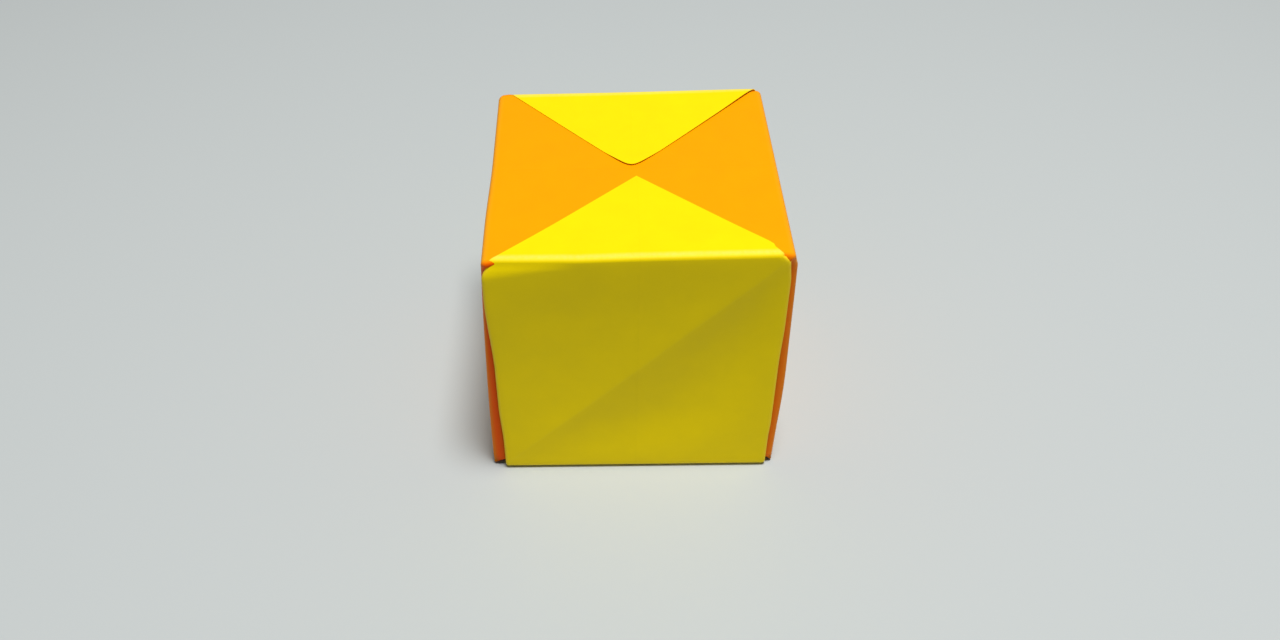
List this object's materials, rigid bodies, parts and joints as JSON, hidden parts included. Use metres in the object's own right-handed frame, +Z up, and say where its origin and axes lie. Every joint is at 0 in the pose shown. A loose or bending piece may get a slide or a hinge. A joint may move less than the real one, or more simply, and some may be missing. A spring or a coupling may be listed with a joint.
{
  "type": "folded paper gift box",
  "caption": "Cube-shaped folded-paper box of crossed yellow and orange strips, with triangular flaps that close over its top and under its base.",
  "frame": {"origin": "middle of the footprint, on the surface that the box stands on", "axes": "+Z up; -Y to the front, the yellow wall that faces the viewer; +X to the viewer's right"},
  "size_m": [0.0558, 0.0558, 0.0542],
  "materials": {
    "yellow_paper": "matt dyed craft paper",
    "orange_paper": "matt dyed craft paper"
  },
  "bodies": {
    "folded_sheets": {"yellow_sheet": "yellow_paper", "orange_sheet": "orange_paper"},
    "front_flap": {"front_flap": "yellow_paper"},
    "back_flap": {"back_flap": "yellow_paper"},
    "left_flap": {"left_flap": "orange_paper"},
    "right_flap": {"right_flap": "orange_paper"}
  },
  "joints": [
    {"name": "front_crease", "type": "hinge", "parent": "folded_sheets", "child": "front_flap", "pos_m": [0, -0.02746, 0.05412], "axis": [1, 0, 0], "range_deg": [0, 180]},
    {"name": "back_crease", "type": "hinge", "parent": "folded_sheets", "child": "back_flap", "pos_m": [0, 0.02746, 0.05412], "axis": [-1, 0, 0], "range_deg": [0, 180]},
    {"name": "left_crease", "type": "hinge", "parent": "folded_sheets", "child": "left_flap", "pos_m": [-0.02746, 0, 0.00006], "axis": [0, 1, 0], "range_deg": [0, 180]},
    {"name": "right_crease", "type": "hinge", "parent": "folded_sheets", "child": "right_flap", "pos_m": [0.02746, 0, 0.00006], "axis": [0, -1, 0], "range_deg": [0, 180]}
  ]
}
